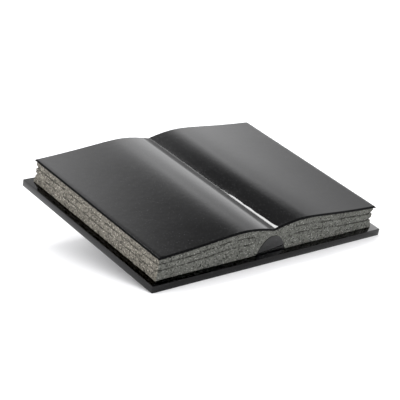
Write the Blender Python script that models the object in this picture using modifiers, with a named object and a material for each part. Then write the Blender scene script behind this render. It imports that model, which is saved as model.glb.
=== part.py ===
"""An open book in black granite: a thin polished slab carries a page block with rough-hewn
sides, and a plain block under the back sets the book at a slope.

Metres, +Z up. The book's foot faces -Y and its spine runs front to back at X = 0. The origin
is at the bottom centre of the whole object, on the ground.
"""
import math

import bmesh
import bpy
import numpy as np
from mathutils import Vector, noise
from mathutils.geometry import interpolate_bezier

OBJECT_NAME = "granite_book_memorial"

# The cover slab
SLAB_WIDTH = 0.400
SLAB_DEPTH = 0.300
SLAB_THICKNESS = 0.0095
SLAB_CHAMFER = 0.0008

# The slope of the book, its back edge raised
SLOPE = math.radians(16.0)

# The page block stands on the slab, inside a narrow ledge
LEDGE_SIDE = 0.0096
LEDGE_END = 0.0082
BLOCK_WIDTH = SLAB_WIDTH - 2 * LEDGE_SIDE
BLOCK_DEPTH = SLAB_DEPTH - 2 * LEDGE_END
SEAT_GAP = 0.0003

# The open pages, as heights above the ledge at distances from the spine
VALLEY_HEIGHT = 0.0354
HUMP_OFFSET = 0.054
HUMP_HEIGHT = 0.0431
EDGE_HEIGHT = 0.0332
FLANK_HANDLES = ((0.022, 0.0410), (0.038, HUMP_HEIGHT))
LEAF_HANDLES = ((0.080, HUMP_HEIGHT), (0.118, 0.0366))
PAGE_POINTS = 40

# The rough-hewn page edges, below a chamfered arris that overhangs them. Rows are shares of
# the height from the ledge to the arris, and the grooves between the leaves follow two of them.
ARRIS_HEIGHT = 0.0022
ARRIS_CHAMFER = 0.0016
SETBACK_AT_ENDS = 0.0029
SETBACK_AT_SIDES = 0.0014
ROUGH_SWING = 0.0007
ROUGH_GRAIN = 0.014
CORNER_FLARE = 0.0010
CORNER_REACH = 0.020
COLUMN_STEP = 0.0064
PAGE_ROWS = (0.0, 0.16, 0.32, 0.39, 0.46, 0.60, 0.67, 0.74, 0.90, 1.0)
GROOVE_ROWS = (3, 6)
GROOVE_DEPTH = 0.0011

# The polished arch at each end of the spine, almost level with the hewn face around it. It was
# cut a little to the right of the spine's line.
ARCH_CENTRE = 0.0034
ARCH_SETBACK = 0.0023
ARCH_HALF_WIDTH = 0.0250
ARCH_HEIGHT = 0.0238
ARCH_POWER = 2.4
ARCH_POINTS = 20
ARCH_ROOT = 0.0060

# The block that raises the back of the slab
SUPPORT_WIDTH = 0.160
SUPPORT_THICKNESS = 0.040
SUPPORT_BACK_INSET = 0.030
SUPPORT_CHAMFER = 0.0010

# Points of an outline closer together than this are one point
WELD_DISTANCE = 0.00001


def clear_scene():
    for thing in list(bpy.data.objects):
        bpy.data.objects.remove(thing, do_unlink=True)


def new_collection(name):
    collection = bpy.data.collections.new(name)
    bpy.context.scene.collection.children.link(collection)
    return collection


def move_to(thing, collection):
    for other in list(thing.users_collection):
        other.objects.unlink(thing)
    collection.objects.link(thing)


def stone(name, colour, roughness):
    material = bpy.data.materials.new(name)
    material.use_nodes = True
    shader = material.node_tree.nodes["Principled BSDF"]
    shader.inputs["Base Color"].default_value = (*colour, 1.0)
    shader.inputs["Roughness"].default_value = roughness
    shader.inputs["Metallic"].default_value = 0.0
    return material


def page_profile():
    """Distances from the spine and heights of one page, from the valley over the hump."""
    def section(start, handles, end):
        corners = [Vector((x, z)) for x, z in (start, *handles, end)]
        return interpolate_bezier(*corners, PAGE_POINTS)

    flank = section((0.0, VALLEY_HEIGHT), FLANK_HANDLES, (HUMP_OFFSET, HUMP_HEIGHT))
    leaf = section((HUMP_OFFSET, HUMP_HEIGHT), LEAF_HANDLES, (BLOCK_WIDTH / 2, EDGE_HEIGHT))
    points = np.array([tuple(point) for point in flank + leaf[1:]])
    return points[:, 0], points[:, 1]


PAGE_X, PAGE_Z = page_profile()


def page_height(x):
    return float(np.interp(abs(x), PAGE_X, PAGE_Z))


def evenly(start, end, step):
    count = max(2, round(abs(end - start) / step))
    return np.linspace(start, end, count + 1)


def block_columns():
    """The plan of the page block: a point and an outward direction for each column."""
    half_x = BLOCK_WIDTH / 2
    half_y = BLOCK_DEPTH / 2
    across = evenly(-half_x, half_x, COLUMN_STEP)
    along = evenly(-half_y, half_y, COLUMN_STEP)
    front = [(x, -half_y, 0.0, -1.0) for x in across]
    right = [(half_x, y, 1.0, 0.0) for y in along[1:-1]]
    back = [(x, half_y, 0.0, 1.0) for x in across[::-1]]
    left = [(-half_x, y, -1.0, 0.0) for y in along[1:-1][::-1]]
    for row in (front, back):
        for end in (0, -1):
            x, y, _, out_y = row[end]
            row[end] = (x, y, math.copysign(1.0, x), out_y)
    return front, right, back, left


def nearness_to_corner(x, y):
    """1 at a corner of the page block's plan, and 0 beyond the corner's reach."""
    distance = math.hypot(BLOCK_WIDTH / 2 - abs(x), BLOCK_DEPTH / 2 - abs(y))
    return max(0.0, 1.0 - distance / CORNER_REACH)


def rough_inset(x, y, row):
    """How far the hewn face lies behind the arris: deeper in a groove, less at a corner's foot."""
    at_side = BLOCK_WIDTH / 2 - abs(x) < WELD_DISTANCE
    inset = SETBACK_AT_SIDES if at_side else SETBACK_AT_ENDS
    inset += ROUGH_SWING * noise.noise(Vector((x, y, PAGE_ROWS[row] * EDGE_HEIGHT)) / ROUGH_GRAIN)
    if row in GROOVE_ROWS:
        inset += GROOVE_DEPTH
    return inset - CORNER_FLARE * nearness_to_corner(x, y) * (1.0 - PAGE_ROWS[row])


def add_ring(mesh, columns, inset_at, height_at):
    ring = []
    for x, y, out_x, out_y in columns:
        inset = inset_at(x, y)
        ring.append(mesh.verts.new((x - out_x * inset, y - out_y * inset, height_at(x))))
    return ring


def close_with_strips(mesh, ring, sides, upward):
    """Close a ring by strips that run from its front edge to its back edge."""
    front, right, back, left = sides
    front_row = ring[:front]
    right_row = ring[front:front + right]
    back_row = ring[front + right:front + right + back][::-1]
    left_row = ring[front + right + back:]
    last = front - 2
    for i in range(front - 1):
        loop = [front_row[i], front_row[i + 1]]
        loop += right_row if i == last else []
        loop += [back_row[i + 1], back_row[i]]
        loop += left_row if i == 0 else []
        mesh.faces.new(loop if upward else loop[::-1])


def page_block_mesh():
    """The page block before its arches: a stack of rings from the foot to the page tops."""
    sides = block_columns()
    columns = [column for side in sides for column in side]
    mesh = bmesh.new()
    rings = []
    for row, share in enumerate(PAGE_ROWS):
        rings.append(add_ring(mesh, columns,
                              lambda x, y, row=row: rough_inset(x, y, row),
                              lambda x, share=share: share * (page_height(x) - ARRIS_HEIGHT)))
    rings.append(add_ring(mesh, columns, lambda x, y: 0.0,
                          lambda x: page_height(x) - ARRIS_HEIGHT))
    rings.append(add_ring(mesh, columns, lambda x, y: 0.0,
                          lambda x: page_height(x) - ARRIS_CHAMFER))
    rings.append(add_ring(mesh, columns, lambda x, y: ARRIS_CHAMFER, page_height))
    for lower, upper in zip(rings, rings[1:]):
        for i in range(len(columns)):
            j = (i + 1) % len(columns)
            mesh.faces.new((lower[i], lower[j], upper[j], upper[i]))
    counts = [len(side) for side in sides]
    close_with_strips(mesh, rings[-1], counts, upward=True)
    close_with_strips(mesh, rings[0], counts, upward=False)
    data = bpy.data.meshes.new("page_block")
    mesh.to_mesh(data)
    mesh.free()
    return data


def solid_from_outline(name, points, thickness):
    """A flat outline with a thickness, as a mesh with welded caps."""
    curve = bpy.data.curves.new(name, "CURVE")
    curve.dimensions = "2D"
    curve.fill_mode = "BOTH"
    curve.extrude = thickness / 2
    spline = curve.splines.new("POLY")
    spline.points.add(len(points) - 1)
    for point, (u, v) in zip(spline.points, points):
        point.co = (u, v, 0.0, 1.0)
    spline.use_cyclic_u = True
    holder = bpy.data.objects.new(name + "_outline", curve)
    bpy.context.scene.collection.objects.link(holder)
    evaluated = holder.evaluated_get(bpy.context.evaluated_depsgraph_get())
    data = bpy.data.meshes.new_from_object(evaluated)
    bpy.data.objects.remove(holder, do_unlink=True)
    mesh = bmesh.new()
    mesh.from_mesh(data)
    bmesh.ops.remove_doubles(mesh, verts=mesh.verts, dist=WELD_DISTANCE)
    mesh.to_mesh(data)
    mesh.free()
    return data


def arch_outline():
    """The arch above the foot of the page block, from one foot over the crown to the other."""
    outline = []
    for step in np.linspace(-1.0, 1.0, ARCH_POINTS + 1):
        x = ARCH_HALF_WIDTH * math.sin(step * math.pi / 2)
        outline.append((x, ARCH_HEIGHT * (1 - abs(x / ARCH_HALF_WIDTH) ** ARCH_POWER)))
    return outline[::-1]


def make_slab(parts, tilt):
    bpy.ops.mesh.primitive_cube_add(size=1.0)
    slab = bpy.context.object
    slab.name = "cover_slab"
    slab.scale = (SLAB_WIDTH, SLAB_DEPTH, SLAB_THICKNESS)
    bpy.ops.object.transform_apply(location=False, rotation=False, scale=True)
    slab.location = (0.0, SLAB_DEPTH / 2, SLAB_THICKNESS / 2)
    bevel = slab.modifiers.new("chamfer", "BEVEL")
    bevel.width = SLAB_CHAMFER
    bevel.segments = 1
    slab.data.materials.append(stone("polished_black_granite", (0.012, 0.012, 0.013), 0.10))
    slab.parent = tilt
    move_to(slab, parts)


def make_page_block(parts, cutters, tilt):
    block = bpy.data.objects.new("page_block", page_block_mesh())
    block.location = (0.0, SLAB_DEPTH / 2, SLAB_THICKNESS + SEAT_GAP)
    block.data.materials.append(stone("page_granite", (0.10, 0.10, 0.097), 0.45))
    block.parent = tilt
    parts.objects.link(block)
    for end, name in ((-1, "front_arch"), (1, "back_arch")):
        arch = bpy.data.objects.new(name, solid_from_outline(name, arch_outline(), ARCH_ROOT))
        arch.rotation_euler = (math.pi / 2, 0.0, 0.0)
        face = SLAB_DEPTH / 2 + end * (BLOCK_DEPTH / 2 - ARCH_SETBACK - ARCH_ROOT / 2)
        arch.location = (ARCH_CENTRE, face, SLAB_THICKNESS + SEAT_GAP)
        arch.hide_render = True
        arch.display_type = "WIRE"
        arch.parent = tilt
        cutters.objects.link(arch)
        union = block.modifiers.new(name, "BOOLEAN")
        union.operation = "UNION"
        union.solver = "EXACT"
        union.object = arch


def make_support(parts, front_shift):
    """A plain block whose top is cut to the slope, a hair below the slab."""
    back = SLAB_DEPTH * math.cos(SLOPE) - SUPPORT_BACK_INSET
    front = back - SUPPORT_THICKNESS
    clearance = SEAT_GAP / math.cos(SLOPE) + SLAB_CHAMFER * math.tan(SLOPE)
    front_top = front * math.tan(SLOPE) - clearance
    back_top = back * math.tan(SLOPE) - clearance
    side = [(front, 0.0), (back, 0.0), (back, back_top), (front, front_top)]
    data = solid_from_outline("support_block", side, SUPPORT_WIDTH)
    support = bpy.data.objects.new("support_block", data)
    support.rotation_euler = (math.pi / 2, 0.0, math.pi / 2)
    support.location = (0.0, front_shift, 0.0)
    bevel = support.modifiers.new("chamfer", "BEVEL")
    bevel.width = SUPPORT_CHAMFER
    bevel.segments = 1
    support.data.materials.append(stone("honed_black_granite", (0.02, 0.02, 0.021), 0.30))
    parts.objects.link(support)


def make_tilt(parts):
    """The empty that carries the book, set so that the whole object is centred over the origin."""
    hump_front = LEDGE_END * math.cos(SLOPE)
    hump_front -= (SLAB_THICKNESS + SEAT_GAP + HUMP_HEIGHT - ARRIS_CHAMFER) * math.sin(SLOPE)
    slab_back = SLAB_DEPTH * math.cos(SLOPE) - SLAB_CHAMFER * math.sin(SLOPE)
    tilt = bpy.data.objects.new("book_tilt", None)
    tilt.rotation_euler = (SLOPE, 0.0, 0.0)
    tilt.location = (0.0, -(hump_front + slab_back) / 2, -SLAB_CHAMFER * math.sin(SLOPE))
    parts.objects.link(tilt)
    return tilt


def main():
    clear_scene()
    parts = new_collection(OBJECT_NAME)
    cutters = new_collection("cutters")
    tilt = make_tilt(parts)
    make_slab(parts, tilt)
    make_page_block(parts, cutters, tilt)
    make_support(parts, tilt.location.y)


main()
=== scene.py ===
"""The looks of the granite book memorial: polished black cover slab and page tops, hewn page
edges with the grooves between the leaves, and a polished arch at each end of the spine.
"""
import math

import bmesh
import bpy
import numpy as np
from mathutils import Matrix, Vector, noise
from mathutils.geometry import interpolate_bezier

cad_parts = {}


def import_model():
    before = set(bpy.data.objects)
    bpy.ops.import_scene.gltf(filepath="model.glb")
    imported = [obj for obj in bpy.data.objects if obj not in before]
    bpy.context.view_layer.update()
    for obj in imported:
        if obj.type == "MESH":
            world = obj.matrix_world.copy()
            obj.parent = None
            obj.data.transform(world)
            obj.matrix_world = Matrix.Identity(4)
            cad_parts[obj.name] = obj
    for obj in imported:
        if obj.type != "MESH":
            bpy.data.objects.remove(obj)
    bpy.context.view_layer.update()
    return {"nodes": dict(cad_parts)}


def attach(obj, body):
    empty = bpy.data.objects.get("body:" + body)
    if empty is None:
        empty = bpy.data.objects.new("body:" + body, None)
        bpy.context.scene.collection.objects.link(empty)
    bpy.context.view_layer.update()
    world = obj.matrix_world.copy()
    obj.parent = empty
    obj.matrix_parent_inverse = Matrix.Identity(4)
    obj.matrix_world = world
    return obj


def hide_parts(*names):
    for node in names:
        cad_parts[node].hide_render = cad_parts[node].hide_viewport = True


MM = 0.001

# The book's own sizes, in the frame that lies flat on the slope
SLAB_WIDTH = 0.400
SLAB_DEPTH = 0.300
SLAB_THICKNESS = 0.0095
SLAB_CHAMFER = 0.0008
SLAB_CORNER = 0.0010
TOP_RIM = 0.0004
BOTTOM_RIM = 0.00015
SLOPE = math.radians(16.0)
LEDGE_SIDE = 0.0096
LEDGE_END = 0.0082
SEAT_GAP = 0.0003
BLOCK_HALF_X = SLAB_WIDTH / 2 - LEDGE_SIDE
BLOCK_HALF_Y = SLAB_DEPTH / 2 - LEDGE_END

# The open pages, as heights above the ledge at distances from the spine
VALLEY_HEIGHT = 0.0354
HUMP_OFFSET = 0.054
HUMP_HEIGHT = 0.0431
EDGE_HEIGHT = 0.0332
FLANK_HANDLES = ((0.022, 0.0410), (0.038, HUMP_HEIGHT))
LEAF_HANDLES = ((0.080, HUMP_HEIGHT), (0.118, 0.0366))
PAGE_POINTS = 80

# The polished page tops. The spine's line lies a little to the right of the middle, and the
# foot of the right page is steeper along the front part of it. Layers of unevenness are each
# a height in mm, a size and a seed.
SPINE_SHIFT = 0.0008
VALLEY_ROUND = 0.0005
FOOT_WIDTH_FRONT = 0.0046
FOOT_WIDTH_BACK = 0.0030
FOOT_WOBBLE = ((0.7, 0.011, 3), (0.6, 0.004, 8))
FOOT_FLARE = 0.0030
FOOT_FLARE_LENGTH = 0.012
FOOT_EXTRA_SLOPE = 0.078
FOOT_LENGTH = 0.112
FOOT_FADE = 0.022
FOOT_RECOVERY = 0.026
CARVED_REACH = 0.008
CARVED_MARKS = ((0.022, 0.0045, 1), (0.014, 0.0020, 9))
POLISHED_SWELL = ((0.02, 0.045, 2),)

# The points of the page tops: close together across the gutter, and inside a margin
FINE_REACH = 0.0165
FINE_COLUMN = 0.00075
WIDE_COLUMN = 0.0050
TOP_ROW = 0.0020
TOP_MARGIN = 0.0028

# The bottom of the gutter, where the polishing wheel didn't reach: places across it
DULL_START = -0.0145
DULL_FULL = -0.0055
DULL_END = 0.0036
DULL_ROUGHNESS = 0.45

# The chamfered arris round the page tops. Its rings are each how far in and how far down.
ARRIS_HEIGHT = 0.0022
ARRIS_CHAMFER = 0.0016
ARRIS_ROUND = 0.00035
ARRIS_WANDER = ((0.25, 0.022, 31), (0.16, 0.0045, 32))
ARRIS_CHIPS = ((0.16, 0.003, 33),)
CHIP_DEPTH = 0.10
ARRIS_RINGS = ((0.0, ARRIS_CHAMFER + ARRIS_ROUND),
               (0.3 * ARRIS_ROUND, ARRIS_CHAMFER),
               (ARRIS_ROUND, ARRIS_CHAMFER - ARRIS_ROUND),
               (ARRIS_CHAMFER - ARRIS_ROUND, 0.7 * ARRIS_ROUND),
               (ARRIS_CHAMFER, 0.15 * ARRIS_ROUND),
               (ARRIS_CHAMFER + ARRIS_ROUND, 0.0))
UNDERCUT_GAP = 0.0004
UNDERCUT_DROP = 0.00014
UNDERCUT_INSET = 0.00005

# The hewn page edges. Rows are shares of the height from the ledge to the page tops, and the
# two long grooves of an end face are given by their place across it.
COLUMN_STEP = 0.0009
SETBACK_AT_ENDS = 0.0029
SETBACK_AT_FOOT = 0.0021
SETBACK_AT_SIDES = 0.0014
FOOT_SHARE = 0.35
LEAST_SETBACK = 0.0002
LOWER_GROOVE = ((-0.186, 0.369), (-0.149, 0.378), (-0.104, 0.402), (-0.092, 0.443),
                (-0.069, 0.456), (-0.040, 0.444), (0.031, 0.455), (0.061, 0.437),
                (0.083, 0.427), (0.099, 0.402), (0.127, 0.350), (0.179, 0.330))
UPPER_GROOVE = ((-0.185, 0.647), (-0.130, 0.646), (-0.103, 0.684), (-0.070, 0.721),
                (-0.056, 0.690), (-0.028, 0.680), (0.024, 0.714), (0.061, 0.693),
                (0.094, 0.663), (0.144, 0.663), (0.189, 0.626))
SIDE_GROOVES = (0.357, 0.660)
LONG_GROOVES = (0.40, 0.67)
FAINT_GROOVES = (0.13, 0.26, 0.54, 0.84)
LONG_SHOULDERS = (0.016, 0.034)
FAINT_SHOULDER = 0.014
BAND_STEPS = 3
CORNER_TURN = 0.012
CORNER_REACH = 0.016
TOP_SHARE = 0.72

# How far the corner of the hewn stone is eaten in, in mm, from its foot to the arris
CORNER_WEAR = ((0.0, -0.9), (0.12, -0.7), (0.30, 0.2), (0.38, 1.5), (0.46, 0.1), (0.60, 0.0),
               (0.68, 1.5), (0.76, 0.2), (0.88, -0.2), (1.0, 0.4))

# The broken surface: layers of a depth in mm, a size, a seed and a squeeze in height
HEWN_LAYERS = ((0.30, 0.013, 21, 1.0), (0.28, 0.0052, 22, 1.6),
               (0.30, 0.0024, 23, 1.4), (0.22, 0.0013, 24, 1.0))
ROUGH_ON_SIDE = 0.95
ROUGH_ON_END = 0.85

# How the grooves wander in height: a share of it, and a size and seed of bumps
LOWER_WANDER = (0.010, 0.016, 4)
UPPER_WANDER = (0.008, 0.014, 5)
SIDE_WANDER = (0.016, 0.022, 7)
WANDER_LEVEL = 0.02

# How the grooves break up: the size and seed of bumps, and the offset and span that make
# shares of them. Then each groove's least share of its depth, and what the breaks add.
LONG_BREAKS = (0.015, 6, 0.50, 0.5)
FINE_BREAKS = (0.0042, 12, 0.75, 0.8)
FAINT_BREAKS = (0.009, 14, 0.05, 0.5)
BREAK_LEVEL = 0.4
LONG_ON_END = (0.35, 0.65)
LONG_ON_SIDE = (0.15, 0.75)
FAINT_ON_END = (0.0, 0.10)
FAINT_ON_SIDE = (0.0, 0.60)
FINE_SHARES = (0.45, 0.55)
GROOVE_START_LEFT = 0.026
GROOVE_START_RIGHT = 0.034
GROOVE_FADE = 0.010
GROOVE_DEPTH_SIDE = 0.0009
GROOVE_DEPTH_END = 0.0013

# The polished arches
ARCH_SETBACK = 0.0023
ARCH_CENTRE = 0.0034
ARCH_HALF_WIDTH = 0.0250
ARCH_HEIGHT = 0.0238
ARCH_POWER = 2.4
ARCH_POINTS = 48
ARCH_ROOT = 0.0060
ARCH_MARGIN = 0.0005
ARCH_COVER = 0.0008
ARCH_EDGE = 0.00025
FILLET_DEPTH = 0.0010
FILLET_HEIGHT = 0.0016
FILLET_ROOT = 0.0010
FILLET_POINTS = 7
FILLET_SHORT = 0.0002

# Finishes of the stone. Sizes of grain and noise are counts per metre.
DUST_COLOUR = (0.120, 0.122, 0.116)
DUST_AMOUNT = 0.30
# The side faces lighter, which is painted light, and warmer in tone
SIDE_LIGHT_AND_WARMTH = (1.50, 1.38, 1.30)
# Painted shade in the small pits of the hewn faces
PIT_SHADE_COLOUR = (0.014, 0.013, 0.012)
PIT_SHADE_AMOUNT = 0.65
# Painted shade in the grooves of the hewn faces, by their depth
GROOVE_SHADE_COLOUR = (0.016, 0.015, 0.013)
GROOVE_SHADE_AMOUNT = 0.75
SAWN_COLOUR = (0.060, 0.060, 0.058)
HONED_COLOUR = (0.030, 0.030, 0.031)
CRYSTAL_WARP = 0.0007
SAW_MARK_AMOUNT = 0.3
HEWN_BUMP = 0.0008
SAWN_BUMP = 0.00015

# The studio: a white room with two openings, each a direction and where its edge starts
ROOM_LEVEL = 1.775
ROOM_TINT = (1.0, 1.0, 1.01)
DARK_OPENING = ((6.216, 0.228, 10.710), 10.192)
DARK_DROP = 1.499
DIM_OPENING = ((22.546, 10.596, 14.536), 27.836)
DIM_DROP = 1.014
DARKEST = 0.03
FLOOR_SIZE = 30.0
FLOOR_HEIGHT = -0.0003
FLOOR_COLOUR = (0.97, 0.97, 0.975, 1.0)
SOFTBOX_TOWARDS = (0.20, 0.37, 0.90)
SOFTBOX_DISTANCE = 2.0
SOFTBOX_SIZE = 0.55
SOFTBOX_WATTS = 10.0
BLACK_LEVEL = 0.006
CAMERA_PLACE = (-1.21582, -1.47882, 0.55885)
CAMERA_TURN = (75.30117, 0.39973, -39.36871)
CAMERA_LENS = 129.17
CAMERA_SENSOR = 36.0

# The looks of the page block, in the order of its material slots
# The arris slot is near-black: painted shade along the arris.
POLISHED, HEWN, SAWN, ARRIS = range(4)
PAGE_LOOKS = ("polished_pages", "hewn_edges", "sawn_underside", "painted_shade_black")

# The sockets of a Mix node that mixes colours
MIX_FACTOR, MIX_FIRST, MIX_SECOND, MIX_RESULT = 0, 6, 7, 2


# Shapes

def book_matrix():
    """From the flat book's frame to the world: tilted, and centred over the origin."""
    hump_front = LEDGE_END * math.cos(SLOPE)
    hump_front -= (SLAB_THICKNESS + SEAT_GAP + HUMP_HEIGHT - ARRIS_CHAMFER) * math.sin(SLOPE)
    slab_back = SLAB_DEPTH * math.cos(SLOPE) - SLAB_CHAMFER * math.sin(SLOPE)
    shift = (0.0, -(hump_front + slab_back) / 2, -SLAB_CHAMFER * math.sin(SLOPE))
    return Matrix.Translation(shift) @ Matrix.Rotation(SLOPE, 4, "X")


def page_profile():
    """Distances from the spine and heights of one page, from the valley over the hump."""
    def section(start, handles, end):
        corners = [Vector((x, z)) for x, z in (start, *handles, end)]
        return interpolate_bezier(*corners, PAGE_POINTS)

    flank = section((0.0, VALLEY_HEIGHT), FLANK_HANDLES, (HUMP_OFFSET, HUMP_HEIGHT))
    leaf = section((HUMP_OFFSET, HUMP_HEIGHT), LEAF_HANDLES, (BLOCK_HALF_X, EDGE_HEIGHT))
    points = np.array([tuple(point) for point in flank + leaf[1:]])
    return points[:, 0], points[:, 1]


PAGE_X, PAGE_Z = page_profile()


def page_height(x):
    return np.interp(np.abs(x), PAGE_X, PAGE_Z)


def smooth(t):
    t = np.clip(t, 0.0, 1.0)
    return t * t * (3 - 2 * t)


def bumps(x, y, z, size, seed):
    """Smooth noise from -1 to 1 with bumps of a size, at each of many points."""
    k = 1.0 / size
    shift = seed * 17.3
    return np.array([noise.noise((a * k + shift, b * k - shift, c * k))
                     for a, b, c in zip(np.ravel(x), np.ravel(y), np.ravel(z))])


def uneven(layers, x, y, z):
    """Heights in mm of layers of bumps, at each of many points."""
    return sum(height * bumps(x, y, z, size, seed) for height, size, seed in layers)


def look_up(table, places):
    """Values of a table of pairs, in straight lines from one pair to the next."""
    known, values = zip(*table)
    return np.interp(places, known, values)


def foot_width(y):
    """How wide the steep foot of the right page is, at places along the spine."""
    from_front = y + BLOCK_HALF_Y
    zero = np.zeros_like(y)
    along = np.clip(from_front / FOOT_LENGTH, 0, 1)
    width = FOOT_WIDTH_FRONT + (FOOT_WIDTH_BACK - FOOT_WIDTH_FRONT) * along
    width = width + FOOT_FLARE * smooth(1 - from_front / FOOT_FLARE_LENGTH)
    return width + MM * uneven(FOOT_WOBBLE, zero, y, zero)


def page_top(x, y):
    """Height of the polished page tops, with the steeper foot of the right page."""
    inside = BLOCK_HALF_X - np.abs(x)
    from_spine = x - SPINE_SHIFT * inside / BLOCK_HALF_X
    zero = np.zeros_like(y)
    width = foot_width(y)
    strength = smooth((FOOT_LENGTH - (y + BLOCK_HALF_Y)) / FOOT_FADE)
    rise = np.clip(from_spine / width, 0, 1)
    fall = np.clip((from_spine - width) / FOOT_RECOVERY, 0, 1)
    height = page_height(np.hypot(from_spine, VALLEY_ROUND))
    height = height + FOOT_EXTRA_SLOPE * width * (rise - fall) * strength
    near_spine = smooth(1.3 - np.abs(from_spine) / CARVED_REACH) * MM
    height = height + near_spine * uneven(CARVED_MARKS, x, y, zero)
    return height + MM * uneven(POLISHED_SWELL, x, y, zero)


def gutter_dullness(x):
    """0 to 1: how dull the polish is across the bottom of the gutter."""
    into = smooth((x - DULL_START) / (DULL_FULL - DULL_START))
    return into * (1 - smooth(x / DULL_END))


def evenly(start, end, step):
    count = max(2, round(abs(end - start) / step))
    return np.linspace(start, end, count + 1)


def block_columns():
    """The plan of the page block as arrays: place, outward direction, and points on a side."""
    across = evenly(-BLOCK_HALF_X, BLOCK_HALF_X, COLUMN_STEP)
    along = evenly(-BLOCK_HALF_Y, BLOCK_HALF_Y, COLUMN_STEP)[1:-1]
    front = [(x, -BLOCK_HALF_Y, 0.0, -1.0) for x in across]
    right = [(BLOCK_HALF_X, y, 1.0, 0.0) for y in along]
    back = [(x, BLOCK_HALF_Y, 0.0, 1.0) for x in across[::-1]]
    left = [(-BLOCK_HALF_X, y, -1.0, 0.0) for y in along[::-1]]
    return np.array(front + right + back + left), (len(front), len(right))


def row_references():
    """Rows from 0 to 1, each with the groove that it belongs to, if any."""
    rows = [(0.0, None)]
    stops = [(groove, LONG_SHOULDERS) for groove in LONG_GROOVES]
    stops += [(groove, (FAINT_SHOULDER,)) for groove in FAINT_GROOVES]
    stops = [(0.0, (0.0,)), *sorted(stops), (1.0, (0.0,))]
    for (low, low_arms), (high, high_arms) in zip(stops, stops[1:]):
        start, end = low + low_arms[-1], high - high_arms[-1]
        rows += [(step, None) for step in np.linspace(start, end, BAND_STEPS + 1)[1:]]
        if high < 1.0:
            inner = high_arms[:-1]
            rows += [(high - arm, high) for arm in inner]
            rows.append((high, high))
            rows += [(high + arm, high) for arm in inner]
            rows.append((high + high_arms[-1], None))
    return rows


def through(reference, grooves):
    """A row's height when the two long grooves are moved to their own heights."""
    lower, upper = grooves
    low, high = LONG_GROOVES
    below = reference / low * lower
    between = lower + (reference - low) / (high - low) * (upper - lower)
    above = upper + (reference - high) / (1 - high) * (1 - upper)
    return below if reference <= low else between if reference <= high else above


def end_row_height(reference, x):
    """Where a row lies on an end face, so that two of the rows follow the long grooves."""
    zero = np.zeros_like(x)

    def wandering(table, wander):
        share, size, seed = wander
        return look_up(table, x) + share * bumps(x, zero, zero, size, seed)

    grooves = wandering(LOWER_GROOVE, LOWER_WANDER), wandering(UPPER_GROOVE, UPPER_WANDER)
    return through(reference, grooves)


def side_row_height(reference, x, y):
    """Where a row lies on a side face: nearly straight, and level at the foot and the top."""
    share, size, seed = SIDE_WANDER
    wave = bumps(x, y, np.full_like(x, reference * WANDER_LEVEL), size, seed)
    return through(reference, SIDE_GROOVES) + share * wave * 4 * reference * (1 - reference)


def groove_strength(groove, x, y, on_side):
    """0 to 1: how deep a groove is at each column, broken up along its length."""
    if groove is None:
        return np.zeros_like(x)
    level = np.full_like(x, groove * BREAK_LEVEL)

    def share_of(shares, breaks):
        least, more = shares
        size, seed, offset, span = breaks
        return least + more * smooth((bumps(x, y, level, size, seed) + offset) / span)

    if groove in LONG_GROOVES:
        start = np.where(x < 0, GROOVE_START_LEFT, GROOVE_START_RIGHT)
        reach = smooth((np.abs(x) - start) / GROOVE_FADE)
        end = reach * share_of(LONG_ON_END, LONG_BREAKS)
        side = share_of(LONG_ON_SIDE, LONG_BREAKS)
    else:
        end = share_of(FAINT_ON_END, LONG_BREAKS)
        side = share_of(FAINT_ON_SIDE, FAINT_BREAKS)
    return np.where(on_side, side, end) * share_of(FINE_SHARES, FINE_BREAKS)


def in_arch(x, z):
    """Whether a point of an end face lies behind the polished arch, or close round it."""
    reach = np.clip(np.abs(x - ARCH_CENTRE) / (ARCH_HALF_WIDTH + ARCH_MARGIN), 0, 1)
    return z < (ARCH_HEIGHT + ARCH_MARGIN) * (1 - reach ** ARCH_POWER)


def hewn_inset(plan, on_side, corner, groove, height, z):
    """How far the hewn face lies behind the arris, for one row of points."""
    x, y = plan[:, 0], plan[:, 1]
    at_ends = SETBACK_AT_FOOT + (SETBACK_AT_ENDS - SETBACK_AT_FOOT) * smooth(height / FOOT_SHARE)
    inset = np.where(on_side, SETBACK_AT_SIDES, at_ends)
    rough = sum(depth * bumps(x, y, z * squeeze, size, seed)
                for depth, size, seed, squeeze in HEWN_LAYERS)
    inset = inset + rough * MM * np.where(on_side, ROUGH_ON_SIDE, ROUGH_ON_END)
    strength = groove_strength(groove, x, y, on_side)
    inset += strength * np.where(on_side, GROOVE_DEPTH_SIDE, GROOVE_DEPTH_END)
    inset += corner * look_up(CORNER_WEAR, height) * MM
    inset = np.where(in_arch(x, z) & ~on_side, ARCH_SETBACK + ARCH_COVER, inset)
    return np.maximum(inset, LEAST_SETBACK), strength


def hewn_rings(plan, on_side, is_corner):
    """The rows of the hewn face as inset, height and depth of groove, and the arris's foot."""
    x, y = plan[:, 0], plan[:, 1]
    zero = np.zeros_like(x)
    end_gap, side_gap = BLOCK_HALF_X - np.abs(x), BLOCK_HALF_Y - np.abs(y)
    corner = np.clip(1 - np.hypot(end_gap, side_gap) / CORNER_REACH, 0, 1)
    blend = np.where(on_side | is_corner, 0.0, smooth(end_gap / CORNER_TURN))
    top = page_height(x)
    arris = ARRIS_HEIGHT + MM * uneven(ARRIS_WANDER, x, y, zero)
    rough_top = (top - arris - UNDERCUT_GAP) / top
    rings = []
    for reference, groove in row_references():
        share = side_row_height(reference, x, y) * (1 - blend)
        share += end_row_height(reference, x) * blend
        lowered = smooth((share - TOP_SHARE) / (1 - TOP_SHARE))
        share = share * (1 - (1 - rough_top) * lowered)
        inset, strength = hewn_inset(plan, on_side, corner, groove, share, share * top)
        rings.append((inset, share * top, strength))
    return rings, top - arris


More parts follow.
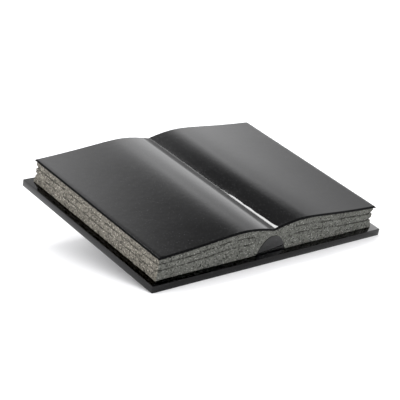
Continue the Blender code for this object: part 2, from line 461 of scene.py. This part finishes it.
def block_rings(columns):
    """Every ring of the page block, from its foot to its tops, and how many are hewn. With
    each ring goes the depth of groove along it.
    """
    plan, out = columns[:, :2], columns[:, 2:]
    signs = np.sign(plan)
    on_side = np.abs(out[:, 0]) > 0.5
    end_gap, side_gap = (half - np.abs(axis) for half, axis in
                         zip((BLOCK_HALF_X, BLOCK_HALF_Y), plan.T))
    is_corner = (end_gap < 1e-7) & (side_gap < 1e-7)
    slide = np.clip(1 - np.where(on_side, side_gap, end_gap) / CORNER_TURN, 0, 1)
    corner_index = {tuple(signs[i]): i for i in np.flatnonzero(is_corner)}
    nearest = np.array([corner_index[(sx if sx else 1.0, sy if sy else 1.0)]
                        for sx, sy in signs])
    zero = np.zeros(len(plan))

    def ring(inset, z):
        """One ring, whose columns slide along the face to meet at the inset corners."""
        across = inset[nearest] * slide
        x = plan[:, 0] - out[:, 0] * inset
        y = plan[:, 1] - out[:, 1] * inset
        x = np.where(on_side, x, x - signs[:, 0] * across)
        y = np.where(on_side, y - signs[:, 1] * across, y)
        return np.column_stack([x, y, z])

    hewn, arris_foot = hewn_rings(plan, on_side, is_corner)
    points = [ring(inset, z) for inset, z, _ in hewn]
    chips = np.clip(CHIP_DEPTH + uneven(ARRIS_CHIPS, plan[:, 0], plan[:, 1], zero), 0, 1) * MM
    points.append(ring(hewn[-1][0] * 0.5 + UNDERCUT_INSET, arris_foot - UNDERCUT_DROP))
    points.append(ring(chips, arris_foot))
    edge_top = page_top(plan[:, 0], plan[:, 1])
    points += [ring(np.full(len(plan), inset), edge_top - drop) for inset, drop in ARRIS_RINGS]
    grooves = [strength for _, _, strength in hewn] + [zero] * (len(points) - len(hewn))
    return points, grooves, len(hewn), on_side | is_corner


def zip_rows(faces, fine, coarse, places, flip):
    """Triangles between two rows of points with unlike counts, matched by place."""
    i = j = 0
    while i < len(fine) - 1 or j < len(coarse) - 1:
        step_fine = j == len(coarse) - 1 or (
            i < len(fine) - 1 and places[fine[i + 1]] <= places[coarse[j + 1]])
        if step_fine:
            triangle = (fine[i], coarse[j], fine[i + 1])
            i += 1
        else:
            triangle = (fine[i], coarse[j], coarse[j + 1])
            j += 1
        faces.append(triangle if flip else triangle[::-1])


def top_grid():
    """Places across and along the page tops: close together across the gutter."""
    half_x, half_y = BLOCK_HALF_X - TOP_MARGIN, BLOCK_HALF_Y - TOP_MARGIN
    fine = evenly(-FINE_REACH, FINE_REACH, FINE_COLUMN)
    left = evenly(-half_x, -FINE_REACH, WIDE_COLUMN)[:-1]
    right = evenly(FINE_REACH, half_x, WIDE_COLUMN)[1:]
    return np.concatenate([left, fine, right]), evenly(-half_y, half_y, TOP_ROW)


def ring_faces(ring_count, hewn_count, count):
    """The faces from each ring to the next, and their looks."""
    faces, slots = [], []
    for number in range(ring_count - 1):
        low, high = number * count, (number + 1) * count
        for i in range(count):
            j = (i + 1) % count
            faces.append((low + i, low + j, high + j, high + i))
        # The arris rings take the near-black look: painted shade along the arris.
        slots += [HEWN if number < hewn_count else ARRIS] * count
    return faces, slots


def top_faces(last_ring, sides, grid, points):
    """The faces of the page tops: a grid, and strips that join it to the last ring."""
    front_count, right_count = sides
    back_start = front_count + right_count
    left_start = back_start + front_count
    front = [last_ring + i for i in range(front_count)]
    right = [last_ring + front_count + i for i in range(right_count)]
    back = [last_ring + back_start + i for i in range(front_count)][::-1]
    left = [last_ring + left_start + i for i in range(right_count)][::-1]
    faces = []
    for i in range(grid.shape[0] - 1):
        for k in range(grid.shape[1] - 1):
            faces.append((grid[i, k], grid[i + 1, k], grid[i + 1, k + 1], grid[i, k + 1]))
    zip_rows(faces, front, list(grid[:, 0]), points[:, 0], False)
    zip_rows(faces, back, list(grid[:, -1]), points[:, 0], True)
    zip_rows(faces, [front[0], *left, back[0]], list(grid[0]), points[:, 1], True)
    zip_rows(faces, [front[-1], *right, back[-1]], list(grid[-1]), points[:, 1], False)
    return faces


def hewn_block_mesh():
    """The page block in one closed mesh: hewn sides, arris and polished tops."""
    columns, sides = block_columns()
    count = len(columns)
    rings, grooves, hewn_count, side_lit_warm = block_rings(columns)
    across, along = top_grid()
    start = len(rings) * count
    grid = start + np.arange(len(across) * len(along)).reshape(len(across), len(along))
    grid_x, grid_y = (axis.ravel() for axis in np.meshgrid(across, along, indexing="ij"))
    tops = np.column_stack([grid_x, grid_y, page_top(grid_x, grid_y)])
    points = np.concatenate([*rings, tops])

    faces, slots = ring_faces(len(rings), hewn_count, count)
    polished = top_faces(start - count, sides, grid, points)
    underside = tuple(range(count))[::-1]
    faces += [*polished, underside]
    slots += [POLISHED] * len(polished) + [SAWN]

    data = bpy.data.meshes.new("page_block_stone")
    data.from_pydata([tuple(p) for p in points], [], [tuple(int(v) for v in f) for f in faces])
    data.polygons.foreach_set("material_index", slots)
    no_rings, no_tops = np.zeros(start), np.zeros(len(tops))
    # Layers for the looks: the depth of groove for painted shade, the side faces for their
    # painted light and warmer tone, and the dull gutter
    for name, on_rings, on_tops in (
            ("groove", np.concatenate(grooves), no_tops),
            ("side_light_and_warmth", np.tile(side_lit_warm.astype(float), len(rings)), no_tops),
            ("dull", no_rings, gutter_dullness(grid_x))):
        layer = data.attributes.new(name, "FLOAT", "POINT")
        layer.data.foreach_set("value", np.append(on_rings, on_tops).astype(np.float32))
    data.update()
    return data


def plate(name, outline, depth):
    """A flat outline in X and Z, with a depth towards +Y, as a closed mesh."""
    mesh = bmesh.new()
    front = [mesh.verts.new((x, 0.0, z)) for x, z in outline]
    back = [mesh.verts.new((x, depth, z)) for x, z in outline]
    mesh.faces.new(front)
    mesh.faces.new(back[::-1])
    for i in range(len(outline)):
        j = (i + 1) % len(outline)
        mesh.faces.new((front[j], front[i], back[i], back[j]))
    bmesh.ops.recalc_face_normals(mesh, faces=mesh.faces)
    data = bpy.data.meshes.new(name)
    mesh.to_mesh(data)
    mesh.free()
    return data


def arch_outline():
    """The arch from one foot over the crown to the other."""
    outline = []
    for step in np.linspace(-1.0, 1.0, ARCH_POINTS + 1):
        x = ARCH_HALF_WIDTH * math.sin(step * math.pi / 2)
        outline.append((x, ARCH_HEIGHT * (1 - abs(x / ARCH_HALF_WIDTH) ** ARCH_POWER)))
    return outline


def fillet_section():
    """The hollow curve where the arch meets the ledge: out from the face, up from the foot."""
    curve = []
    for angle in np.linspace(0.0, math.pi / 2, FILLET_POINTS):
        curve.append((FILLET_DEPTH * (1 - math.sin(angle)),
                      FILLET_HEIGHT * (1 - math.cos(angle))))
    return [(-FILLET_ROOT, 0.0), *curve, (-FILLET_ROOT, FILLET_HEIGHT)]


def new_arch(end, looks):
    """The polished stone of the arch at the front (-1) or the back (1)."""
    arch = bpy.data.objects.new("arch", plate("arch", arch_outline(), ARCH_ROOT))
    arch.data.materials.append(looks["polished_pages"])
    bpy.context.scene.collection.objects.link(arch)
    arch.location = (ARCH_CENTRE, end * (BLOCK_HALF_Y - ARCH_SETBACK), 0.0)
    arch.rotation_euler = (0.0, 0.0, 0.0 if end < 0 else math.pi)
    bevel = arch.modifiers.new("soft_edge", "BEVEL")
    bevel.width = ARCH_EDGE
    bevel.segments = 2
    bevel.limit_method = "ANGLE"
    bevel.angle_limit = math.radians(60)
    return arch


def apply_modifiers(thing):
    evaluated = thing.evaluated_get(bpy.context.evaluated_depsgraph_get())
    data = bpy.data.meshes.new_from_object(evaluated)
    thing.modifiers.clear()
    thing.data = data


def make_page_block(looks):
    block = bpy.data.objects.new("page_block_stone", hewn_block_mesh())
    bpy.context.scene.collection.objects.link(block)
    for name in PAGE_LOOKS:
        block.data.materials.append(looks[name])
    arches = [new_arch(end, looks) for end in (-1, 1)]
    for arch in arches:
        union = block.modifiers.new("arch", "BOOLEAN")
        union.operation = "UNION"
        union.solver = "EXACT"
        union.material_mode = "TRANSFER"
        union.object = arch
    apply_modifiers(block)
    for arch in arches:
        bpy.data.objects.remove(arch, do_unlink=True)
    block.data.shade_smooth()
    block.data.set_sharp_from_angle(angle=math.radians(50))
    seat = book_matrix() @ Matrix.Translation((0.0, SLAB_DEPTH / 2, SLAB_THICKNESS + SEAT_GAP))
    block.matrix_world = seat
    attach(block, "root")
    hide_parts("page_block")


def make_fillets(looks):
    """A small hollow fillet along the foot of each arch, near-black with painted shade."""
    for end, name in ((-1, "front_arch_fillet"), (1, "back_arch_fillet")):
        width = 2 * (ARCH_HALF_WIDTH - FILLET_SHORT)
        data = plate(name, fillet_section(), width)
        data.transform(Matrix.Translation((0.0, -width / 2, 0.0)))
        data.transform(Matrix.Rotation(-math.pi / 2, 4, "Z"))
        fillet = bpy.data.objects.new(name, data)
        bpy.context.scene.collection.objects.link(fillet)
        # Painted shade: the near-black look stands for the dark line at the foot of the arch.
        data.materials.append(looks["painted_shade_black"])
        data.shade_smooth()
        data.set_sharp_from_angle(angle=math.radians(40))
        turn = Matrix.Rotation(0.0 if end < 0 else math.pi, 4, "Z")
        place = Matrix.Translation((ARCH_CENTRE,
                                    SLAB_DEPTH / 2 + end * (BLOCK_HALF_Y - ARCH_SETBACK),
                                    SLAB_THICKNESS + SEAT_GAP))
        fillet.matrix_world = book_matrix() @ place @ turn
        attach(fillet, "root")


def make_cover_slab(looks):
    """The cover slab, with slightly rounded corners and softened edges."""
    mesh = bmesh.new()
    bmesh.ops.create_cube(mesh, size=1.0)
    bmesh.ops.scale(mesh, vec=(SLAB_WIDTH, SLAB_DEPTH, SLAB_THICKNESS), verts=mesh.verts)
    upright = [e for e in mesh.edges if abs(e.verts[0].co.z - e.verts[1].co.z) > 1e-6]
    bmesh.ops.bevel(mesh, geom=upright, offset=SLAB_CORNER, segments=3, profile=0.5,
                    affect="EDGES")
    near_face = 0.49 * SLAB_THICKNESS
    for side, width in ((1, TOP_RIM), (-1, BOTTOM_RIM)):
        rim = [e for e in mesh.edges if all(v.co.z * side > near_face for v in e.verts)]
        bmesh.ops.bevel(mesh, geom=rim, offset=width, segments=2, profile=0.5, affect="EDGES")
    mesh.normal_update()
    for face in mesh.faces:
        face.material_index = 1 if face.normal.z < -0.95 else 0
        face.smooth = True
    data = bpy.data.meshes.new("cover_slab_stone")
    mesh.to_mesh(data)
    mesh.free()
    data.set_sharp_from_angle(angle=math.radians(50))
    slab = bpy.data.objects.new("cover_slab_stone", data)
    bpy.context.scene.collection.objects.link(slab)
    data.materials.append(looks["polished_cover"])
    data.materials.append(looks["sawn_underside"])
    centre = Matrix.Translation((0.0, SLAB_DEPTH / 2, SLAB_THICKNESS / 2))
    slab.matrix_world = book_matrix() @ centre
    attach(slab, "root")
    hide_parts("cover_slab")


# Stone finishes

def new_group(name, inputs, outputs):
    group = bpy.data.node_groups.new(name, "ShaderNodeTree")
    for label, kind, default in inputs:
        socket = group.interface.new_socket(label, in_out="INPUT", socket_type=kind)
        if default is not None:
            socket.default_value = default
    for label, kind in outputs:
        group.interface.new_socket(label, in_out="OUTPUT", socket_type=kind)
    return group, group.nodes.new("NodeGroupInput"), group.nodes.new("NodeGroupOutput")


def math_node(tree, operation, first, second):
    node = tree.nodes.new("ShaderNodeMath")
    node.operation = operation
    for socket, value in zip(node.inputs, (first, second)):
        if isinstance(value, (int, float)):
            socket.default_value = value
        else:
            tree.links.new(value, socket)
    return node.outputs[0]


def ramp(tree, value, low, high, out_low=0.0, out_high=1.0):
    node = tree.nodes.new("ShaderNodeMapRange")
    node.interpolation_type = "SMOOTHSTEP"
    tree.links.new(value, node.inputs["Value"])
    for label, number in (("From Min", low), ("From Max", high),
                          ("To Min", out_low), ("To Max", out_high)):
        node.inputs[label].default_value = number
    return node.outputs["Result"]


def mix_colour(tree, factor, first, second, blend="MIX"):
    node = tree.nodes.new("ShaderNodeMix")
    node.data_type = "RGBA"
    node.blend_type = blend
    for index, value in ((MIX_FACTOR, factor), (MIX_FIRST, first), (MIX_SECOND, second)):
        if isinstance(value, (int, float)):
            node.inputs[index].default_value = value
        elif isinstance(value, tuple):
            node.inputs[index].default_value = (*value, 1.0)
        else:
            tree.links.new(value, node.inputs[index])
    return node.outputs[MIX_RESULT]


def noise_texture(tree, vector, scale, detail=2.0, roughness=0.5):
    node = tree.nodes.new("ShaderNodeTexNoise")
    tree.links.new(vector, node.inputs["Vector"])
    node.inputs["Scale"].default_value = scale
    node.inputs["Detail"].default_value = detail
    node.inputs["Roughness"].default_value = roughness
    return node.outputs["Fac"]


def minerals_group():
    """Granite grain: a body colour with light and dark crystals of a size."""
    group, inside, outside = new_group("granite minerals", (
        ("Vector", "NodeSocketVector", None),
        ("Grains per Metre", "NodeSocketFloat", 700.0),
        ("Body", "NodeSocketColor", (0.1, 0.1, 0.1, 1.0)),
        ("Light Crystal", "NodeSocketColor", (0.3, 0.3, 0.3, 1.0)),
        ("Dark Crystal", "NodeSocketColor", (0.02, 0.02, 0.02, 1.0)),
        ("Light Share", "NodeSocketFloat", 0.2),
        ("Dark Share", "NodeSocketFloat", 0.3)),
        (("Color", "NodeSocketColor"), ("Crystals", "NodeSocketFloat")))
    link = group.links.new
    warp = group.nodes.new("ShaderNodeTexNoise")
    link(inside.outputs["Vector"], warp.inputs["Vector"])
    link(inside.outputs["Grains per Metre"], warp.inputs["Scale"])
    warp.inputs["Detail"].default_value = 1.0
    offset = group.nodes.new("ShaderNodeVectorMath")
    offset.operation = "MULTIPLY_ADD"
    link(warp.outputs["Color"], offset.inputs[0])
    offset.inputs[1].default_value = (CRYSTAL_WARP,) * 3
    link(inside.outputs["Vector"], offset.inputs[2])
    cells = group.nodes.new("ShaderNodeTexVoronoi")
    link(offset.outputs[0], cells.inputs["Vector"])
    link(inside.outputs["Grains per Metre"], cells.inputs["Scale"])
    split = group.nodes.new("ShaderNodeSeparateColor")
    link(cells.outputs["Color"], split.inputs[0])
    light = math_node(group, "GREATER_THAN", split.outputs[0],
                      math_node(group, "SUBTRACT", 1.0, inside.outputs["Light Share"]))
    dark = math_node(group, "LESS_THAN", split.outputs[0], inside.outputs["Dark Share"])
    core = ramp(group, cells.outputs["Distance"], low=0.62, high=0.30)
    fade = ramp(group, split.outputs[1], low=0.0, high=1.0, out_low=0.35)
    light_mask = math_node(group, "MULTIPLY", math_node(group, "MULTIPLY", light, core), fade)
    dark_mask = math_node(group, "MULTIPLY", dark, fade)
    body = mix_colour(group, dark_mask, inside.outputs["Body"], inside.outputs["Dark Crystal"])
    colour = mix_colour(group, light_mask, body, inside.outputs["Light Crystal"])
    link(colour, outside.inputs["Color"])
    link(light_mask, outside.inputs["Crystals"])
    return group


def polish_group():
    """The unevenness of a hand-finished polish: its roughness, and a height for a bump."""
    group, inside, outside = new_group("hand polish", (
        ("Vector", "NodeSocketVector", None),
        ("Roughness Low", "NodeSocketFloat", 0.08),
        ("Roughness High", "NodeSocketFloat", 0.16)),
        (("Roughness", "NodeSocketFloat"), ("Height", "NodeSocketFloat")))
    link = group.links.new
    haze = noise_texture(group, inside.outputs["Vector"], scale=38.0, detail=4.0, roughness=0.6)
    share = ramp(group, haze, low=0.3, high=0.7)
    spread = math_node(group, "SUBTRACT", inside.outputs["Roughness High"],
                       inside.outputs["Roughness Low"])
    rough = math_node(group, "ADD", inside.outputs["Roughness Low"],
                      math_node(group, "MULTIPLY", share, spread))
    link(rough, outside.inputs["Roughness"])
    swell = noise_texture(group, inside.outputs["Vector"], scale=130.0)
    peel = noise_texture(group, inside.outputs["Vector"], scale=900.0)
    height = math_node(group, "ADD", swell, math_node(group, "MULTIPLY", peel, 0.05))
    link(height, outside.inputs["Height"])
    return group


def hewn_group():
    """A broken stone face: height of its grit with small pits sunk in it, patches of dust, and a
    mask of the pits for painted shade.
    """
    group, inside, outside = new_group("hewn face", (
        ("Vector", "NodeSocketVector", None),),
        (("Height", "NodeSocketFloat"), ("Dust", "NodeSocketFloat"), ("Pits", "NodeSocketFloat")))
    link = group.links.new
    place = inside.outputs["Vector"]
    coarse = noise_texture(group, place, scale=420.0, detail=4.0, roughness=0.65)
    chips = group.nodes.new("ShaderNodeTexVoronoi")
    link(place, chips.inputs["Vector"])
    chips.inputs["Scale"].default_value = 620.0
    facets = math_node(group, "MULTIPLY", chips.outputs["Distance"], 0.6)
    pocks = noise_texture(group, place, scale=330.0, detail=3.0, roughness=0.6)
    pits = ramp(group, pocks, low=0.57, high=0.66)
    height = math_node(group, "SUBTRACT", math_node(group, "ADD", coarse, facets),
                       math_node(group, "MULTIPLY", pits, 0.5))
    link(height, outside.inputs["Height"])
    drifts = noise_texture(group, place, scale=160.0, detail=5.0, roughness=0.7)
    link(ramp(group, drifts, low=0.42, high=0.66), outside.inputs["Dust"])
    link(pits, outside.inputs["Pits"])
    return group


def saw_group():
    """Faint parallel lines left by a saw, wandering a little."""
    group, inside, outside = new_group("saw marks", (
        ("Vector", "NodeSocketVector", None),),
        (("Height", "NodeSocketFloat"), ("Mask", "NodeSocketFloat")))
    link = group.links.new
    wave = group.nodes.new("ShaderNodeTexWave")
    link(inside.outputs["Vector"], wave.inputs["Vector"])
    wave.bands_direction = "X"
    for label, number in (("Scale", 95.0), ("Distortion", 1.6), ("Detail", 3.0)):
        wave.inputs[label].default_value = number
    clouds = noise_texture(group, inside.outputs["Vector"], scale=24.0, detail=3.0)
    patch = ramp(group, clouds, low=0.35, high=0.7)
    lines = math_node(group, "MULTIPLY", wave.outputs["Fac"], patch)
    grit = noise_texture(group, inside.outputs["Vector"], scale=900.0, detail=3.0)
    height = math_node(group, "ADD", lines, math_node(group, "MULTIPLY", grit, 0.5))
    link(height, outside.inputs["Height"])
    link(lines, outside.inputs["Mask"])
    return group


def place_group(tree, group, vector, **values):
    node = tree.nodes.new("ShaderNodeGroup")
    node.node_tree = group
    tree.links.new(vector, node.inputs["Vector"])
    for label, value in values.items():
        node.inputs[label.replace("_", " ")].default_value = (
            (*value, 1.0) if isinstance(value, tuple) else value)
    return node


def start_material(name):
    material = bpy.data.materials.new(name)
    material.use_nodes = True
    tree = material.node_tree
    shader = tree.nodes["Principled BSDF"]
    place = tree.nodes.new("ShaderNodeTexCoord").outputs["Object"]
    return material, tree, shader, place


def add_bump(tree, shader, height, distance):
    bump = tree.nodes.new("ShaderNodeBump")
    bump.inputs["Distance"].default_value = distance
    tree.links.new(height, bump.inputs["Height"])
    tree.links.new(bump.outputs["Normal"], shader.inputs["Normal"])


def polished_stone(name, groups, low, high, wave, index):
    """Black granite with a hand-finished polish, duller at the bottom of the gutter."""
    material, tree, shader, place = start_material(name)
    grain = place_group(tree, groups["minerals"], place, Grains_per_Metre=750.0,
                        Body=(0.0010, 0.0010, 0.0012), Light_Crystal=(0.034, 0.035, 0.036),
                        Dark_Crystal=(0.0005, 0.0005, 0.0006), Light_Share=0.11, Dark_Share=0.4)
    finish = place_group(tree, groups["polish"], place, Roughness_Low=low, Roughness_High=high)
    tree.links.new(grain.outputs["Color"], shader.inputs["Base Color"])
    dull = math_node(tree, "MULTIPLY", read_layer(tree, "dull"), DULL_ROUGHNESS)
    tree.links.new(math_node(tree, "ADD", finish.outputs["Roughness"], dull),
                   shader.inputs["Roughness"])
    shader.inputs["IOR"].default_value = index
    add_bump(tree, shader, finish.outputs["Height"], wave)
    return material


def painted_shade_stone(groups):
    """Near-black stone, painted shade: the dark band along the arris of the pages and the dark
    line at the foot of each arch.
    """
    material, tree, shader, place = start_material("painted_shade_black")
    grain = place_group(tree, groups["minerals"], place, Grains_per_Metre=620.0,
                        Body=(0.0012, 0.0012, 0.0013), Light_Crystal=(0.012, 0.012, 0.012),
                        Dark_Crystal=(0.0006, 0.0006, 0.0006), Light_Share=0.08, Dark_Share=0.4)
    tree.links.new(grain.outputs["Color"], shader.inputs["Base Color"])
    shader.inputs["Specular IOR Level"].default_value = 0.08
    shader.inputs["Roughness"].default_value = 0.4
    return material


def read_layer(tree, name):
    node = tree.nodes.new("ShaderNodeAttribute")
    node.attribute_name = name
    return node.outputs["Fac"]


def hewn_stone(groups):
    """Broken granite with patches of dust, painted shade in its pits and grooves, and sides that
    are warmer in tone and lighter with painted light.
    """
    material, tree, shader, place = start_material("hewn_granite")
    grain = place_group(tree, groups["minerals"], place, Grains_per_Metre=620.0,
                        Body=(0.112, 0.114, 0.101), Light_Crystal=(0.33, 0.335, 0.310),
                        Dark_Crystal=(0.024, 0.024, 0.022), Light_Share=0.20, Dark_Share=0.24)
    face = place_group(tree, groups["hewn"], place)

    def stained(colour, mask, amount, stain):
        return mix_colour(tree, math_node(tree, "MULTIPLY", mask, amount), colour, stain)

    dusty = stained(grain.outputs["Color"], face.outputs["Dust"], DUST_AMOUNT, DUST_COLOUR)
    # Painted light: the side faces are made lighter, and warmer in tone
    side_factor = mix_colour(tree, read_layer(tree, "side_light_and_warmth"), (1.0, 1.0, 1.0), SIDE_LIGHT_AND_WARMTH)
    side_lit_warm = mix_colour(tree, 1.0, dusty, side_factor, "MULTIPLY")
    # Painted shade in the pits, which are also hollows in the bump
    pit_shaded = stained(side_lit_warm, face.outputs["Pits"], PIT_SHADE_AMOUNT, PIT_SHADE_COLOUR)
    # Painted shade in the grooves, by the depth of groove
    groove_shaded = stained(pit_shaded, read_layer(tree, "groove"), GROOVE_SHADE_AMOUNT, GROOVE_SHADE_COLOUR)
    tree.links.new(groove_shaded, shader.inputs["Base Color"])
    shader.inputs["Roughness"].default_value = 0.85
    shader.inputs["Specular IOR Level"].default_value = 0.25
    add_bump(tree, shader, face.outputs["Height"], HEWN_BUMP)
    return material


def sawn_stone(groups, name, body, roughness):
    """Granite left from the saw, with faint marks."""
    material, tree, shader, place = start_material(name)
    light = tuple(min(1.0, 2.6 * c) for c in body)
    dark = tuple(0.35 * c for c in body)
    grain = place_group(tree, groups["minerals"], place, Grains_per_Metre=700.0, Body=body,
                        Light_Crystal=light, Dark_Crystal=dark, Light_Share=0.16, Dark_Share=0.3)
    marks = place_group(tree, groups["saw"], place)
    worn = mix_colour(tree, math_node(tree, "MULTIPLY", marks.outputs["Mask"], SAW_MARK_AMOUNT),
                      grain.outputs["Color"], light)
    tree.links.new(worn, shader.inputs["Base Color"])
    shader.inputs["Roughness"].default_value = roughness
    add_bump(tree, shader, marks.outputs["Height"], SAWN_BUMP)
    return material


def make_looks():
    groups = {"minerals": minerals_group(), "polish": polish_group(),
              "hewn": hewn_group(), "saw": saw_group()}
    pages = polished_stone("polished_pages", groups, low=0.06, high=0.09,
                           wave=0.00003, index=1.50)
    cover = polished_stone("polished_cover", groups, low=0.05, high=0.08,
                           wave=0.00002, index=1.38)
    return {"polished_pages": pages, "polished_cover": cover,
            "painted_shade_black": painted_shade_stone(groups), "hewn_edges": hewn_stone(groups),
            "sawn_underside": sawn_stone(groups, "sawn_granite", SAWN_COLOUR, 0.65),
            "honed_support": sawn_stone(groups, "honed_granite", HONED_COLOUR, 0.42)}


# Studio

def make_floor():
    bpy.ops.mesh.primitive_plane_add(size=FLOOR_SIZE, location=(0.0, 0.0, FLOOR_HEIGHT))
    floor = bpy.context.object
    floor.name = "studio_floor"
    material, _, shader, _ = start_material("pale_floor")
    shader.inputs["Base Color"].default_value = FLOOR_COLOUR
    shader.inputs["Roughness"].default_value = 0.9
    shader.inputs["Specular IOR Level"].default_value = 0.0
    floor.data.materials.append(material)


def sky_fade(tree, axes, along, start):
    """0 to 1 across a soft-edged opening of the white room that lies along a direction."""
    total = None
    for axis, weight in zip(axes, along):
        term = math_node(tree, "MULTIPLY", axis, weight)
        total = term if total is None else math_node(tree, "ADD", total, term)
    return ramp(tree, total, start, start + 1.0)


def make_surroundings():
    """A white room with a dark opening overhead to the right and a dimmer one beside it."""
    world = bpy.data.worlds.new("studio")
    bpy.context.scene.world = world
    world.use_nodes = True
    tree = world.node_tree
    place = tree.nodes.new("ShaderNodeTexCoord").outputs["Generated"]
    split = tree.nodes.new("ShaderNodeSeparateXYZ")
    tree.links.new(place, split.inputs[0])
    axes = split.outputs[0], split.outputs[1], split.outputs[2]
    level = ROOM_LEVEL
    for opening, drop in ((DARK_OPENING, DARK_DROP), (DIM_OPENING, DIM_DROP)):
        loss = math_node(tree, "MULTIPLY", sky_fade(tree, axes, *opening), drop)
        level = math_node(tree, "SUBTRACT", level, loss)
    level = math_node(tree, "MAXIMUM", level, DARKEST)
    tree.links.new(mix_colour(tree, 1.0, ROOM_TINT, grey(tree, level), "MULTIPLY"),
                   tree.nodes["Background"].inputs["Color"])


def grey(tree, value):
    node = tree.nodes.new("ShaderNodeCombineColor")
    for socket in node.inputs:
        tree.links.new(value, socket)
    return node.outputs[0]


def make_overhead_light():
    data = bpy.data.lights.new("overhead_softbox", "AREA")
    data.shape = "DISK"
    data.size = SOFTBOX_SIZE
    data.energy = SOFTBOX_WATTS
    lamp = bpy.data.objects.new("overhead_softbox", data)
    bpy.context.scene.collection.objects.link(lamp)
    towards = Vector(SOFTBOX_TOWARDS).normalized()
    lamp.location = towards * SOFTBOX_DISTANCE
    lamp.rotation_euler = towards.to_track_quat("Z", "Y").to_euler()


def make_camera():
    data = bpy.data.cameras.new("camera")
    data.sensor_width = CAMERA_SENSOR
    data.lens = CAMERA_LENS
    camera = bpy.data.objects.new("camera", data)
    bpy.context.scene.collection.objects.link(camera)
    camera.location = CAMERA_PLACE
    camera.rotation_euler = [math.radians(angle) for angle in CAMERA_TURN]
    bpy.context.scene.camera = camera


def develop_picture():
    """Plain colours, with the deepest shadows printed black as in a studio picture."""
    view = bpy.context.scene.view_settings
    view.view_transform = "Standard"
    view.use_curve_mapping = True
    view.curve_mapping.black_level = (BLACK_LEVEL,) * 3
    view.curve_mapping.update()


def main():
    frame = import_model()
    develop_picture()
    make_camera()
    looks = make_looks()
    make_cover_slab(looks)
    make_page_block(looks)
    make_fillets(looks)
    support = frame["nodes"]["support_block"]
    support.data.materials.clear()
    support.data.materials.append(looks["honed_support"])
    make_floor()
    make_surroundings()
    make_overhead_light()


main()
